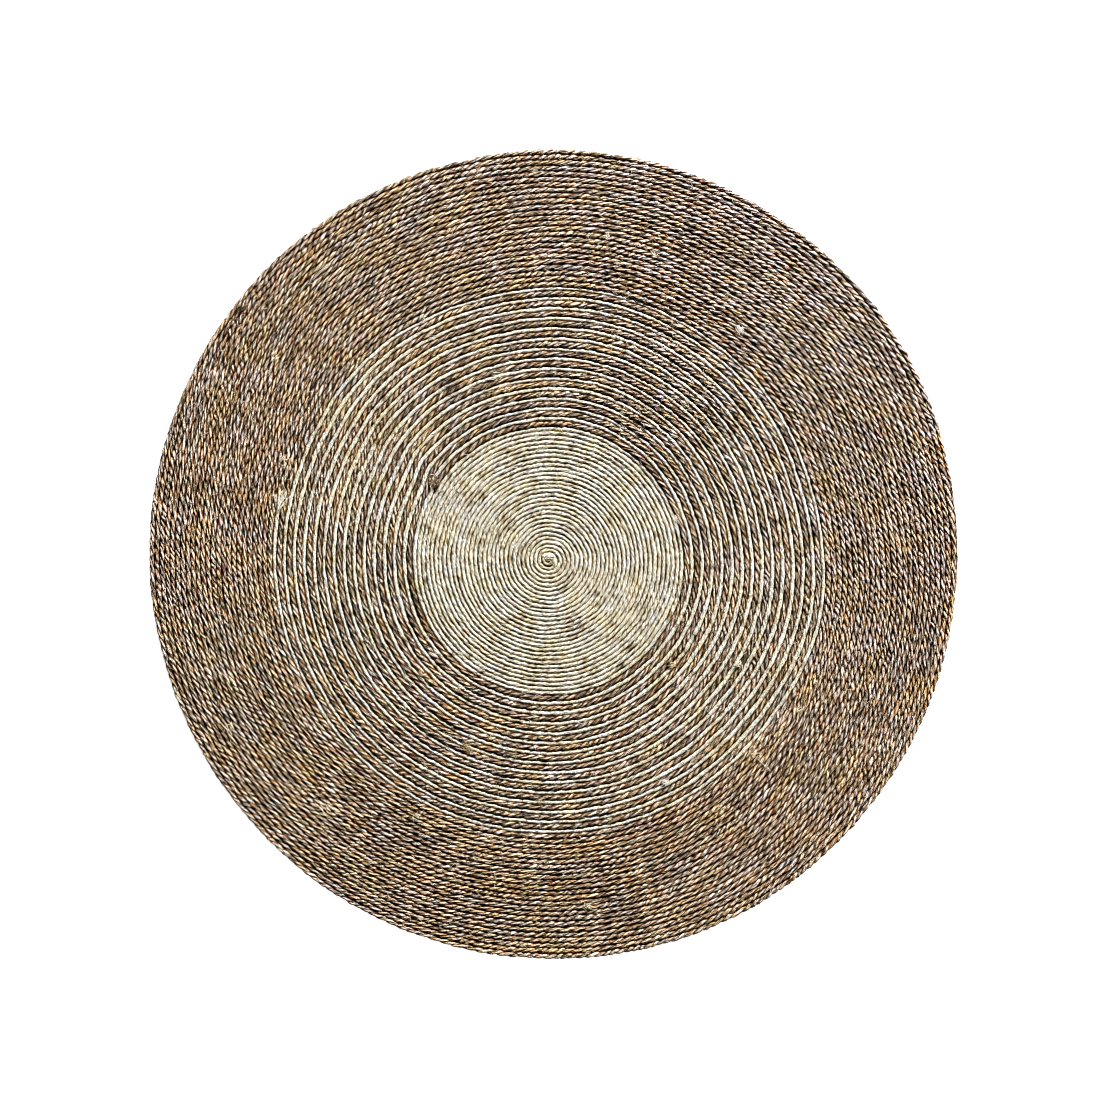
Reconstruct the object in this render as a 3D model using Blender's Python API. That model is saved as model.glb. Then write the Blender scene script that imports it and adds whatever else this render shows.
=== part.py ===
"""Round rug coiled from two ropes. Metres, +Z up.

Two twisted ropes lie edge to edge in one flat coil that winds outwards
clockwise, seen from above. The cream rope starts at the middle and fills a
disc. At the edge of that disc the brown rope is laid in on its inner side,
and the two go round together as a pair of stripes. After almost fourteen
turns the cream rope is cut off, and the brown rope goes on alone as a wide
border, up to its own thinned end at the rim.

Each rope is one flat solid, as high as the rope. Turns that lie against a
turn of the same rope are sewn to it and are one sheet with it. Where the two
ropes lie side by side there is a hair's gap. The origin is on the floor,
under the middle of the outline.
"""

import math

import bpy

# Sizes, in metres
CREAM_ROPE = 0.0083  # width and height of the cream rope as it lies
BROWN_ROPE = 0.0099  # width and height of the brown rope
GAP = 0.0003  # between the two ropes
FIRST_PITCH = 0.0077  # from turn to turn at the middle of the cream disc
LAST_PITCH = 0.0083  # and at its edge
DISC_RADIUS = 0.2504  # cream centre line where the brown rope starts
FIRST_RADIUS = 0.0041  # cream centre line at its first bend
PAIR_PITCH = 0.0185  # one cream and one brown turn, with the slack of sewing
PAIR_TURNS = 13.95  # turns of the two ropes together
BORDER_PITCH = 0.0099
BORDER_TURNS = 24.475  # turns of the brown rope alone
BROWN_START = 148.0  # degrees anticlockwise from +X
STEP_WIDTH = 11.0  # degrees over which a turn climbs over a rope's end
STEP_KEPT = 0.85  # of such a step, in each further turn
END_TAPER = 34.0  # degrees over which the brown rope thins out at the rim
TIP_WIDTH = 0.0022  # its width at the cut end

# The middle of the winding lies a little off the middle of the outline.
WINDING_X, WINDING_Y = -0.0104, -0.0091

# How unevenly the turns lie: waves round the turn, in millimetres outwards,
# as (cosine, sine) at five distances from the middle, with even change between.
WAVE_RADII = (0.0, 0.17, 0.39, 0.64, 0.745)
WAVES = (
    # waves a turn, at 0 m, at 0.17 m, at 0.39 m, at 0.64 m, at the rim
    (1, (0, 0), (-3.0, -2.7), (-3.9, -2.4), (-2.0, -2.2), (0.0, 0.0)),
    (2, (0, 0), (0.2, 0.1), (-0.2, -1.1), (0.2, -1.2), (0.0, -1.6)),
    (3, (0, 0), (-0.3, -0.3), (0.5, -0.5), (0.4, -0.6), (0.1, 0.1)),
    (4, (0, 0), (0.0, -0.2), (-0.3, -0.8), (-0.5, -1.2), (-0.1, -0.3)),
    (5, (0, 0), (0.4, 0.0), (0.6, -0.7), (0.6, -0.8), (0.1, -0.1)),
    (6, (0, 0), (0.2, -0.2), (0.0, -0.3), (0.8, -0.8), (0.1, -0.2)),
    (7, (0, 0), (0.1, 0.2), (-0.4, -0.2), (-1.1, -2.3), (-0.2, -0.4)),
    (8, (0, 0), (0.1, 0.0), (0.0, -0.3), (0.3, -1.7), (0.0, -0.3)),
)

TURN_STEPS = 32  # corners in a turn between the stripes
RIM_STEPS = 144  # and round the rim

SLACK = PAIR_PITCH - CREAM_ROPE - BROWN_ROPE
HALF_STEP = STEP_WIDTH / 720  # in turns
DISC_TURNS = (DISC_RADIUS - FIRST_RADIUS) / ((FIRST_PITCH + LAST_PITCH) / 2)
BESIDE = PAIR_PITCH / 2  # from centre line to centre line in a pair
# Turns are counted from the brown rope's start. The disc's are negative.
PAIR_END = PAIR_TURNS
BORDER_END = PAIR_TURNS + BORDER_TURNS


def share_climbed(turns):
    """0 before a step in the outline of a turn, 1 after it, soft between."""
    share = min(max((turns + HALF_STEP) / (2 * HALF_STEP), 0), 1)
    return share * share * (3 - 2 * share)


def saw(turns):
    """From half to minus half over each turn, with a soft step back."""
    whole = math.floor(turns + 0.5)
    return share_climbed(turns - whole) - 0.5 - (turns - whole)


def kept(turns):
    """What is left of a step after this many turns; the first keeps it all."""
    return STEP_KEPT ** max(turns - 1, 0)


def cream_line(turn):
    """Radius of the cream rope's centre line."""
    step = PAIR_PITCH - LAST_PITCH
    if turn < 0.5:
        back = -turn
        bend = (LAST_PITCH - FIRST_PITCH) / (2 * DISC_TURNS) if turn < 0 else 0
        disc = DISC_RADIUS - LAST_PITCH * back + bend * back * back
        return disc + step * share_climbed(turn)
    return DISC_RADIUS + step / 2 + PAIR_PITCH * turn + step * saw(turn) * kept(turn)


def brown_line(turn):
    """Radius of the brown rope's centre line."""
    if turn <= PAIR_END:
        return cream_line(turn) - BESIDE
    out = turn - PAIR_END
    drop = PAIR_PITCH - BORDER_PITCH
    start = cream_line(PAIR_END) - BESIDE + drop / 2
    wave = saw(out) if out > 0.5 else 0.5 - out
    return start + BORDER_PITCH * out - drop * wave * kept(out)


def unevenness(angle, radius):
    """How far outside an even turn the real one lies at this place."""
    reach = min(max(radius, 0), WAVE_RADII[-1])
    above = max(next(i for i, r in enumerate(WAVE_RADII) if reach <= r), 1)
    low, high = WAVE_RADII[above - 1], WAVE_RADII[above]
    share = (reach - low) / (high - low)
    total = 0.0
    for count, *waves in WAVES:
        (c0, s0), (c1, s1) = waves[above - 1], waves[above]
        total += (c0 + (c1 - c0) * share) * math.cos(count * angle)
        total += (s0 + (s1 - s0) * share) * math.sin(count * angle)
    return total / 1000


def place(turn, radius):
    """The point of the plan at this turn and this distance out."""
    angle = math.radians(BROWN_START - 360 * turn)
    full = brown_line(BORDER_END) + BROWN_ROPE / 2
    inward = max(1 - radius / full, 0)
    out = radius + unevenness(angle, radius)
    return (
        WINDING_X * inward + out * math.cos(angle),
        WINDING_Y * inward + out * math.sin(angle),
    )


def stops(first, last, steps):
    """Turns from first to last, with stops at the same angles in each turn."""
    found = [first]
    found += [
        k / steps
        for k in range(math.floor(first * steps), math.ceil(last * steps))
        if first + 0.2 / steps < k / steps < last - 0.2 / steps
    ]
    return [*found, last]


def inner_seam(turn):
    """Between a brown turn and the turn that it lies round."""
    if turn < 1:
        return cream_line(turn - 1) + LAST_PITCH / 2
    return brown_line(turn) - (BROWN_ROPE + SLACK / 2) / 2


def outer_seam(turn):
    """Between the brown and the cream rope of a pair."""
    return cream_line(turn) - (CREAM_ROPE + SLACK / 2) / 2


def rim():
    """The last brown turn's outer edge, thinning out to its cut end."""
    points = []
    for turn in stops(BORDER_END - 1, BORDER_END, RIM_STEPS):
        left = min((BORDER_END - turn) * 360 / END_TAPER, 1)
        width = TIP_WIDTH + (BROWN_ROPE - TIP_WIDTH) * left * left * (3 - 2 * left)
        points.append(place(turn, brown_line(turn) - BROWN_ROPE / 2 + width))
    return points


def between_seams(first, last, aside):
    """The run in which the cream rope lies beside the brown one, from its outer
    seam back to its inner one, drawn in by aside."""
    outer = [
        place(t, inner_seam(t) - aside)
        for t in stops(first, last + 1, TURN_STEPS)
    ]
    inner = [place(t, outer_seam(t) + aside) for t in stops(first, last, TURN_STEPS)]
    return outer + inner[::-1]


def middle_of(points):
    xs, ys = zip(*points)
    return (min(xs) + max(xs)) / 2, (min(ys) + max(ys)) / 2


def flat_solid(name, loops, middle, height, material, collection, parent):
    """A filled flat outline, standing on the floor."""
    curve = bpy.data.curves.new(name, "CURVE")
    curve.dimensions = "2D"
    curve.fill_mode = "BOTH"
    curve.extrude = height / 2
    for loop in loops:
        spline = curve.splines.new("POLY")
        spline.points.add(len(loop) - 1)
        for point, (x, y) in zip(spline.points, loop):
            point.co = (x - middle[0], y - middle[1], 0, 1)
        spline.use_cyclic_u = True
    curve.materials.append(material)
    obj = bpy.data.objects.new(name, curve)
    obj.location = (0, 0, height / 2)
    obj.parent = parent
    collection.objects.link(obj)
    return obj


def yarn(name, colour):
    material = bpy.data.materials.new(name)
    material.use_nodes = True
    shader = material.node_tree.nodes["Principled BSDF"]
    shader.inputs["Base Color"].default_value = (*colour, 1)
    shader.inputs["Roughness"].default_value = 0.9
    shader.inputs["Metallic"].default_value = 0.0
    material.diffuse_color = (*colour, 1)
    return material


def main():
    for obj in list(bpy.data.objects):
        bpy.data.objects.remove(obj, do_unlink=True)
    collection = bpy.data.collections.new("round rope rug")
    bpy.context.scene.collection.children.link(collection)
    rug = bpy.data.objects.new("rug", None)
    collection.objects.link(rug)

    outline = rim()
    middle = middle_of(outline)
    # the ropes' cut ends keep the same gap along the run
    start_gap = GAP / (2 * math.pi * DISC_RADIUS)
    end_gap = GAP / (2 * math.pi * cream_line(PAIR_END))
    flat_solid(
        "cream_rope_coil",
        [between_seams(0.0, PAIR_END - end_gap, GAP / 2)],
        middle,
        CREAM_ROPE,
        yarn("cream jute", (0.52, 0.46, 0.34)),
        collection,
        rug,
    )
    flat_solid(
        "brown_rope_coil",
        [outline, between_seams(start_gap, PAIR_END, -GAP / 2)],
        middle,
        BROWN_ROPE,
        yarn("brown jute", (0.27, 0.19, 0.12)),
        collection,
        rug,
    )


main()
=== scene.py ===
"""The looks of the round rug: every turn of its two ropes as real two-strand
rope, with its grooves, loose fibres, cut ends and colours. Metres, +Z up."""

import math

import bpy
import numpy as np
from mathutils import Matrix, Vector


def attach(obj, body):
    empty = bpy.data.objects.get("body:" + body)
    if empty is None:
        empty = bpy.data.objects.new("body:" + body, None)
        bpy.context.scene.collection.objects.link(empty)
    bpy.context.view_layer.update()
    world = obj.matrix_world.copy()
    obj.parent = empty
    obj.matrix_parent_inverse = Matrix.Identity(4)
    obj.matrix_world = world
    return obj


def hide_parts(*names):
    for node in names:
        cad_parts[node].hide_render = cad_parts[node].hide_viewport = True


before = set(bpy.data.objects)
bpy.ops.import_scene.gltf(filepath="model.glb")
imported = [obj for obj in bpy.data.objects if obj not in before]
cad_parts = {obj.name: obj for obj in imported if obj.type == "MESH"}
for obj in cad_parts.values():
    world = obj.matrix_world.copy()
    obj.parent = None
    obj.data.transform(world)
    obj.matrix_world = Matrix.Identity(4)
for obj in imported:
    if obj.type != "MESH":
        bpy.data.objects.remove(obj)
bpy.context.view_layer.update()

# ---------------------------------------------------------------- the plan
# The same winding as the solids have: turns are counted from the place where
# the brown rope starts, clockwise and outwards, and the disc's are negative.

CREAM_ROPE = 0.0083
BROWN_ROPE = 0.0099
FIRST_PITCH = 0.0077
LAST_PITCH = 0.0083
DISC_RADIUS = 0.2504
FIRST_RADIUS = 0.0041
PAIR_PITCH = 0.0185
PAIR_TURNS = 13.95
BORDER_PITCH = 0.0099
BORDER_TURNS = 24.475
BROWN_START = 148.0
STEP_WIDTH = 11.0
STEP_KEPT = 0.85
END_TAPER = 34.0
TIP_WIDTH = 0.0022
WINDING_X, WINDING_Y = -0.0104, -0.0091
WAVE_RADII = (0.0, 0.17, 0.39, 0.64, 0.745)
WAVES = (
    # waves a turn, at 0 m, at 0.17 m, at 0.39 m, at 0.64 m, at the rim
    (1, (0, 0), (-3.0, -2.7), (-3.9, -2.4), (-2.0, -2.2), (0.0, 0.0)),
    (2, (0, 0), (0.2, 0.1), (-0.2, -1.1), (0.2, -1.2), (0.0, -1.6)),
    (3, (0, 0), (-0.3, -0.3), (0.5, -0.5), (0.4, -0.6), (0.1, 0.1)),
    (4, (0, 0), (0.0, -0.2), (-0.3, -0.8), (-0.5, -1.2), (-0.1, -0.3)),
    (5, (0, 0), (0.4, 0.0), (0.6, -0.7), (0.6, -0.8), (0.1, -0.1)),
    (6, (0, 0), (0.2, -0.2), (0.0, -0.3), (0.8, -0.8), (0.1, -0.2)),
    (7, (0, 0), (0.1, 0.2), (-0.4, -0.2), (-1.1, -2.3), (-0.2, -0.4)),
    (8, (0, 0), (0.1, 0.0), (0.0, -0.3), (0.3, -1.7), (0.0, -0.3)),
)
RIM_STEPS = 144

SLACK = PAIR_PITCH - CREAM_ROPE - BROWN_ROPE
HALF_STEP = STEP_WIDTH / 720
DISC_TURNS = (DISC_RADIUS - FIRST_RADIUS) / ((FIRST_PITCH + LAST_PITCH) / 2)
BESIDE = PAIR_PITCH / 2
PAIR_END = PAIR_TURNS
BORDER_END = PAIR_TURNS + BORDER_TURNS
BROWN_HALF = (BROWN_ROPE + SLACK / 2) / 2
CREAM_HALF = (CREAM_ROPE + SLACK / 2) / 2


def share_climbed(turns):
    share = np.clip((turns + HALF_STEP) / (2 * HALF_STEP), 0, 1)
    return share * share * (3 - 2 * share)


def saw(turns):
    whole = np.floor(turns + 0.5)
    return share_climbed(turns - whole) - 0.5 - (turns - whole)


def kept(turns):
    return STEP_KEPT ** np.maximum(turns - 1, 0)


def cream_line(turn):
    turn = np.asarray(turn, float)
    step = PAIR_PITCH - LAST_PITCH
    bend = np.where(turn < 0, (LAST_PITCH - FIRST_PITCH) / (2 * DISC_TURNS), 0)
    disc = DISC_RADIUS + LAST_PITCH * turn + bend * turn**2
    pair = DISC_RADIUS + step / 2 + PAIR_PITCH * turn + step * saw(turn) * kept(turn)
    return np.where(turn < 0.5, disc + step * share_climbed(turn), pair)


def brown_line(turn):
    turn = np.asarray(turn, float)
    out = turn - PAIR_END
    drop = PAIR_PITCH - BORDER_PITCH
    start = cream_line(PAIR_END) - BESIDE + drop / 2
    wave = np.where(out > 0.5, saw(out), 0.5 - out)
    alone = start + BORDER_PITCH * out - drop * wave * kept(out)
    return np.where(turn <= PAIR_END, cream_line(turn) - BESIDE, alone)


def unevenness(angle, radius):
    reach = np.clip(radius, 0, WAVE_RADII[-1])
    total = np.zeros(np.broadcast(angle, radius).shape)
    for count, *waves in WAVES:
        cosines, sines = zip(*waves)
        total += np.interp(reach, WAVE_RADII, cosines) * np.cos(count * angle)
        total += np.interp(reach, WAVE_RADII, sines) * np.sin(count * angle)
    return total / 1000


FULL = float(brown_line(BORDER_END)) + BROWN_ROPE / 2


def from_winding(turn, radius):
    angle = np.radians(BROWN_START - 360 * turn)
    inward = np.maximum(1 - radius / FULL, 0)
    out = radius + unevenness(angle, radius)
    return (
        WINDING_X * inward + out * np.cos(angle),
        WINDING_Y * inward + out * np.sin(angle),
    )


def tip_width(turn):
    left = np.clip((BORDER_END - turn) * 360 / END_TAPER, 0, 1)
    return TIP_WIDTH + (BROWN_ROPE - TIP_WIDTH) * left * left * (3 - 2 * left)


def rim_edge(turn):
    return brown_line(turn) - BROWN_ROPE / 2 + tip_width(turn)


def middle_of_rim():
    first, last = BORDER_END - 1, BORDER_END
    steps = np.arange(math.floor(first * RIM_STEPS), math.ceil(last * RIM_STEPS))
    turns = steps / RIM_STEPS
    inside = (turns > first + 0.2 / RIM_STEPS) & (turns < last - 0.2 / RIM_STEPS)
    turns = np.concatenate([[first], turns[inside], [last]])
    x, y = from_winding(turns, rim_edge(turns))
    return (x.min() + x.max()) / 2, (y.min() + y.max()) / 2


MIDDLE = middle_of_rim()


# ------------------------------------------------------- unevenness by hand
# Each kind of unevenness has its own seed, so that changing one leaves the
# others as they are.


def noise_line(seed, length, spacing):
    """A smooth random line over 0 to length, about 1 high, as a function."""
    knots = np.random.default_rng(seed).normal(size=int(length / spacing) + 4)

    def value(at):
        at = np.clip(at, 0, length) / spacing
        low = np.floor(at).astype(int)
        share = at - low
        share = share * share * (3 - 2 * share)
        return knots[low] * (1 - share) + knots[low + 1] * share

    return value


def plane_waves(seed, count, shortest, longest, size):
    """A smooth random shift of the plan, as a function of x and y."""
    rng = np.random.default_rng(seed)
    length = np.exp(rng.uniform(math.log(shortest), math.log(longest), count))
    heading = rng.uniform(0, 2 * math.pi, count)
    phase = rng.uniform(0, 2 * math.pi, (2, count))
    weight = size * math.sqrt(2 / count) * rng.uniform(0.5, 1.4, (2, count))
    kx = 2 * math.pi / length * np.cos(heading)
    ky = 2 * math.pi / length * np.sin(heading)

    def shift(x, y):
        dx, dy = np.zeros(np.shape(x)), np.zeros(np.shape(x))
        for i in range(count):
            along = kx[i] * x + ky[i] * y
            dx += weight[0, i] * np.sin(along + phase[0, i])
            dy += weight[1, i] * np.sin(along + phase[1, i])
        return dx, dy

    return shift


hand_shift = plane_waves(11, 26, 0.05, 0.22, 0.00042)
close_shift = plane_waves(12, 36, 0.014, 0.045, 0.00030)
seam_of_disc = noise_line(21, DISC_TURNS + 4, 0.045)
seam_inside = noise_line(22, PAIR_END + 6, 0.014)
seam_outside = noise_line(23, PAIR_END + 6, 0.014)
seam_of_border = noise_line(24, BORDER_TURNS + 8, 0.008)
SEAM_MOVES = 0.00022


def place(turn, radius):
    """The point of the plan at this turn and this distance out."""
    x, y = from_winding(turn, radius)
    x, y = x - MIDDLE[0], y - MIDDLE[1]
    calm = np.clip(radius / 0.03, 0, 1)
    dx, dy = hand_shift(x, y)
    near_x, near_y = close_shift(x, y)
    return x + (dx + near_x) * calm, y + (dy + near_y) * calm


# ------------------------------------------------- where each rope's edges are


def cream_inner(turn):
    own = cream_line(turn) - LAST_PITCH / 2
    alone = cream_line(turn) - FIRST_PITCH / 2
    between = (cream_line(turn - 1) + cream_line(turn)) / 2
    between = between + SEAM_MOVES * seam_of_disc(turn + DISC_TURNS + 2)
    disc = np.where(turn < 1 - DISC_TURNS, alone, np.maximum(between, own))
    pair = cream_line(turn) - CREAM_HALF + SEAM_MOVES * seam_outside(turn + 2)
    past_end = brown_outer(turn)
    return np.where(turn < 0, disc, np.where(turn < PAIR_END, pair, past_end))


def cream_outer(turn):
    own = cream_line(turn) + LAST_PITCH / 2
    between = (cream_line(turn) + cream_line(turn + 1)) / 2
    between = between + SEAM_MOVES * seam_of_disc(turn + 1 + DISC_TURNS + 2)
    disc = np.minimum(between, own)
    return np.where(turn < -1, disc, brown_inner(turn + 1))


def brown_inner(turn):
    first = cream_line(turn - 1) + LAST_PITCH / 2
    own = brown_line(turn) - BROWN_HALF
    between = (brown_line(turn - 1) + brown_line(turn)) / 2
    between = between + SEAM_MOVES * seam_of_border(turn - PAIR_END + 2)
    moved = SEAM_MOVES * seam_inside(turn + 2)
    return np.where(
        turn < 1,
        first + moved * np.clip(turn * 8, 0, 1),
        np.where(turn <= PAIR_END + 1, own + moved, np.maximum(between, own)),
    )


def brown_outer(turn):
    pair = cream_line(turn) - CREAM_HALF + SEAM_MOVES * seam_outside(turn + 2)
    own = brown_line(turn) + BROWN_HALF
    between = (brown_line(turn) + brown_line(turn + 1)) / 2
    between = between + SEAM_MOVES * seam_of_border(turn + 1 - PAIR_END + 2)
    alone = np.where(turn > BORDER_END - 1, rim_edge(turn), np.minimum(between, own))
    return np.where(turn <= PAIR_END, pair, alone)


# ------------------------------------------------------------------- the rope

# Grid lines round the rope, in degrees from the top, outwards
ROUND = np.radians([-90, -60, -30, 0, 30, 60, 90])
ROUND_AT_RIM = np.radians([-90, -60, -30, 0, 30, 60, 90, 118, 146])
UNDER = 0.68  # how far the underside is drawn in, of the half width
SLANT = 0.52  # marks that a groove runs on from the rope's middle to its side


def slant(around):
    """How many marks further on a groove lies here than on the rope's middle."""
    side = np.abs(np.sin(around))
    side = np.where(np.abs(around) > math.pi / 2, 2 - side, side)
    return SLANT * np.sign(around) * side**0.8


class Rope:
    """One rope's run: its strands' grooves and its unevenness along the way."""

    def __init__(self, inner, outer, first, last, size, look, seed):
        self.inner, self.outer, self.size, self.look = inner, outer, size, look
        mark = look["mark"]
        turns = np.append(np.arange(first, last, 1 / 1440), last)
        x, y = place(turns, (inner(turns) + outer(turns)) / 2)
        steps = np.hypot(np.diff(x), np.diff(y))
        self.turns, self.run = turns, np.concatenate([[0], np.cumsum(steps)])
        self.length = self.run[-1]

        rng = np.random.default_rng(seed)
        n = int(round(self.length / mark - 2 * SLANT))
        at = np.arange(n) * mark
        long = noise_line(seed + 1, self.length, 0.16)(at)
        uneven = noise_line(seed + 2, self.length, 0.35)(at)
        lengths = 1 + 0.13 * long + look["uneven"] * rng.normal(size=n)
        lengths += 0.16 * uneven * np.where(np.arange(n) % 2, 1, -1)
        lengths = np.clip(lengths, 0.45, 1.7)
        ends = np.concatenate([[SLANT], lengths, [SLANT]])
        self.grooves = np.concatenate([[0], np.cumsum(ends)])
        self.grooves *= self.length / self.grooves[-1]
        self.marks = n
        self.knots = np.concatenate([[-SLANT], np.arange(n + 1), [n + SLANT]])
        self.bulge = np.clip(rng.normal(0, 0.06, n + 2), -0.14, 0.13)
        lines = len(look["across"])
        self.rise = np.clip(rng.normal(0, look["rise"], (n + 2, lines)), -0.12, 0.1)
        self.rise[:, 0] = 0
        self.tones = rng.normal(0, look["streaks"], (n + 2, lines))
        self.thick = noise_line(seed + 3, self.length, 0.09)
        self.lift = noise_line(seed + 4, self.length, 0.05)
        # the next two only make the painted shade along the seams ragged, not the shape
        self.shade_pinch = noise_line(seed + 5, self.length, 0.013)
        self.shade_nick = noise_line(seed + 6, self.length, 0.0045)
        # painted shade between two strands, mark by mark: dark at some marks, hardly any at others
        self.parted_shade = np.clip(rng.normal(1.0, look["parted_shade"], n + 2), 0, 2.2)
        self.twist = noise_line(seed + 7, n + 2, 4.0)
        self.seed = seed

    def lines_at(self, q):
        """The mark and the grid line across it that a place lies on."""
        mark = np.floor(q + 1e-6)
        line = np.searchsorted(self.look["across"], q - mark + 1e-5) - 1
        return np.clip(mark.astype(int), 0, self.marks + 1), np.clip(line, 0, None)

    def at(self, strands):
        """Distance along the rope, where this many strands have gone by."""
        return np.interp(strands, self.knots, self.grooves)

    def slanted(self, strands, around):
        """Distance along the rope of a place on a strand; its slant varies."""
        uneven = 1 + 0.26 * np.clip(self.twist(strands), -1.3, 1.3)
        inside = np.clip(np.minimum(strands, self.marks - strands) / 3, 0, 1)
        return self.at(strands + slant(around) * (1 + (uneven - 1) * inside))

    def turn_at(self, distance):
        return np.interp(distance, self.run, self.turns)

    def section(self, distance):
        """Middle, half width and half height of the rope, and its turn."""
        turn = self.turn_at(distance)
        low, high = self.inner(turn), self.outer(turn)
        half = np.maximum((high - low) / 2, 0.0003)
        full = self.size / 2
        to_end = np.minimum(distance / 0.004, (self.length - distance) / 0.007)
        end = 1 - np.clip(1 - to_end, 0, 1) ** 2
        end = np.sqrt(np.clip(end, 0.06, 1))
        share = np.clip(half / full, 0.08, 1.2)
        height = full * np.where(share < 1, share**0.75, share**0.3) * end
        height = height * (1 + 0.025 * self.thick(distance))
        half = half * (0.3 + 0.7 * end)
        return (low + high) / 2, half, height, turn

    def top(self, strands, around):
        """x, y, z and groove share (0 in a groove, 1 on a strand's back)."""
        q, phi = np.broadcast_arrays(strands, around)
        distance = self.slanted(q, phi)
        middle, half, height, turn = self.section(distance)
        across = q - np.floor(q)
        back = np.abs(np.sin(math.pi * across))
        ridge = back ** self.look["plump"]
        which, line = self.lines_at(q)
        side = np.sin(phi)
        on_top, aside = self.look["groove"]
        depth = on_top + (aside - on_top) * side**2
        at_rim = (turn > BORDER_END - 1) & (side > 0)
        depth = depth + np.where(at_rim, 0.22, 0) * side**2
        rho = 1 - depth * (1 - ridge) + self.bulge[which] * back**2
        rho = rho + self.rise[which, line]
        aside = half * (1 + self.look["past"]) * rho * side
        z = height + height * (rho * np.cos(phi))
        z = z + 0.00018 * self.lift(distance) * np.cos(phi).clip(0)
        x, y = place(turn, middle + aside)
        return x, y, z, ridge, distance, turn

    def foot(self, strands, side, under):
        """Where the rope's side meets the floor. under draws it in."""
        distance = self.slanted(strands, side * math.pi / 2)
        middle, half, height, turn = self.section(distance)
        x, y = place(turn, middle + side * half * (1 - under))
        return x, y, np.zeros(np.shape(x)), distance, turn


# For each rope: grid lines across a strand, from groove to groove, as shares of
# its width; the length of a mark; how uneven the marks are; the groove between
# two strands on top and at the side, as a share of the radius; how flat a
# strand's back is; how far it presses into the neighbour, as a share too.
# Then how much the yarns in a strand rise and differ in tone, and how much the painted shade
# between two strands differs from mark to mark. Last, how ragged the painted shade of the seam
# between two turns is, and how far it reaches.
CREAM_LOOK = {
    "across": np.array([0.0, 0.2, 0.5, 0.8]),
    "mark": 0.0135, "uneven": 0.14, "groove": (0.09, 0.12), "plump": 0.85,
    "past": 0.03, "rise": 0.025, "streaks": 0.13, "parted_shade": 0.8,
    "nicks": 0.125, "dim": 0.58,
}
BROWN_LOOK = {
    "across": np.array([0.0, 0.13, 0.38, 0.62, 0.87]),
    "mark": 0.0172, "uneven": 0.20, "groove": (0.41, 0.16), "plump": 0.76,
    "past": 0.06, "rise": 0.05, "streaks": 0.34, "parted_shade": 0.22,
    "nicks": 0.070, "dim": 0.75,
}

cream = Rope(
    cream_inner, cream_outer, -DISC_TURNS, PAIR_END + HALF_STEP * 0.4,
    CREAM_ROPE, CREAM_LOOK, 100,
)
brown = Rope(
    brown_inner, brown_outer, -HALF_STEP * 0.8, BORDER_END,
    BROWN_ROPE, BROWN_LOOK, 200,
)


# --------------------------------------------------------------- making meshes


def new_object(name, points, quads, triangles):
    """A mesh object from arrays, its quads first."""
    mesh = bpy.data.meshes.new(name)
    corners = np.concatenate([quads.ravel(), triangles.ravel()]).astype(np.int32)
    sizes = np.concatenate([np.full(len(quads), 4), np.full(len(triangles), 3)])
    starts = np.concatenate([[0], np.cumsum(sizes)[:-1]]).astype(np.int32)
    mesh.vertices.add(len(points))
    mesh.vertices.foreach_set("co", points.astype(np.float32).ravel())
    mesh.loops.add(len(corners))
    mesh.loops.foreach_set("vertex_index", corners)
    mesh.polygons.add(len(sizes))
    mesh.polygons.foreach_set("loop_start", starts)
    mesh.update(calc_edges=True)
    mesh.polygons.foreach_set("use_smooth", np.ones(len(sizes), bool))
    obj = bpy.data.objects.new(name, mesh)
    bpy.context.scene.collection.objects.link(obj)
    return obj, corners, sizes


def give_map(mesh, u, v):
    layer = mesh.uv_layers.new(name="OFBake")
    layer.data.foreach_set("uv", np.stack([u, v], 1).astype(np.float32).ravel())


def give(mesh, name, kind, values):
    attribute = mesh.attributes.new(name, kind, "POINT")
    field = {"FLOAT": "value", "FLOAT_VECTOR": "vector", "FLOAT_COLOR": "color"}[kind]
    attribute.data.foreach_set(field, np.asarray(values, np.float32).ravel())


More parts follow.
